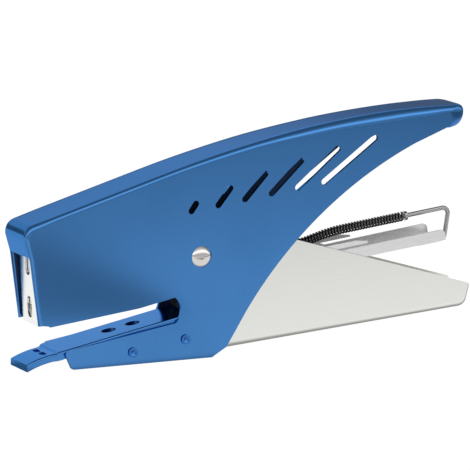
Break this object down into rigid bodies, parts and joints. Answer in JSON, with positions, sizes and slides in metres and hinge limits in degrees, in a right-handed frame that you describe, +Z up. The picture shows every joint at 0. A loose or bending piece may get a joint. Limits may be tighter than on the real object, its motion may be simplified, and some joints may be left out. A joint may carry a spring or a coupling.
{
  "type": "hand plier stapler",
  "caption": "Hand-held plier stapler: painted sheet shell with slotted handle, plated squeeze lever, swinging staple magazine with a pull-out spring rod, and a narrow anvil jaw.",
  "frame": {"origin": "centre of the bounding box's base, on the plane of the jaw's underside", "axes": "+X from the head to the rear of the handles, +Y to the right-hand side seen from the rear, +Z up"},
  "size_m": [0.1576, 0.0218, 0.0757],
  "materials": {
    "blue_enamel": "gloss blue stoved enamel on pressed steel",
    "nickel_plate": "bright nickel plate on pressed steel",
    "zinc_plate": "satin zinc plate on folded strip",
    "rivet_steel": "nickel-plated domed rivet",
    "bare_steel": "bright ground steel",
    "drawn_wire": "bright drawn wire",
    "spring_wire": "dark oil-tempered spring wire",
    "spring_strip": "blued spring strip"
  },
  "bodies": {
    "body": {"body_shell": "blue_enamel", "anvil_bar": "blue_enamel", "anvil_rivet_front": "blue_enamel", "anvil_rivet_rear": "blue_enamel", "pivot_rivet": "rivet_steel", "pivot_sleeve": "bare_steel", "return_spring": "spring_wire"},
    "lever": {"lever": "nickel_plate", "driver_pin": "bare_steel"},
    "magazine": {"magazine_channel": "zinc_plate", "nose_plate": "zinc_plate", "driver_spring": "spring_strip"},
    "driver": {"driver": "bare_steel"},
    "rod": {"pusher_rod": "drawn_wire", "rod_stop": "drawn_wire", "pusher_spring": "spring_wire"},
    "pusher": {"pusher": "zinc_plate"}
  },
  "joints": [
    {"name": "lever_squeeze", "type": "hinge", "parent": "body", "child": "lever", "pos_m": [-0.01806, 0, 0.0328], "axis": [0, -1, 0], "range_deg": [0, 15.4], "stiffness_Nm_per_rad": 0.8, "springref_deg": -17.19, "deforming": ["return_spring"]},
    {"name": "magazine_close", "type": "hinge", "parent": "body", "child": "magazine", "pos_m": [-0.01806, 0, 0.0328], "axis": [0, -1, 0], "range_deg": [0, 9.2]},
    {"name": "driver_stroke", "type": "slide", "parent": "magazine", "child": "driver", "axis": [0.0523, 0, -0.9986], "range_m": [0, 0.0058], "deforming": ["driver_spring"]},
    {"name": "rod_pull", "type": "slide", "parent": "magazine", "child": "rod", "axis": [0.993, 0, 0.1184], "range_m": [0, 0.095]},
    {"name": "pusher_travel", "type": "slide", "parent": "rod", "child": "pusher", "axis": [0.993, 0, 0.1184], "range_m": [0, 0.05], "stiffness_N_per_m": 40, "springref_m": -0.05, "deforming": ["pusher_spring"]}
  ],
  "couplings": [
    {"joint": "magazine_close", "follows": "lever_squeeze", "ratio": 0.5974},
    {"joint": "driver_stroke", "follows": "lever_squeeze", "m_per_rad": 0.021575}
  ]
}
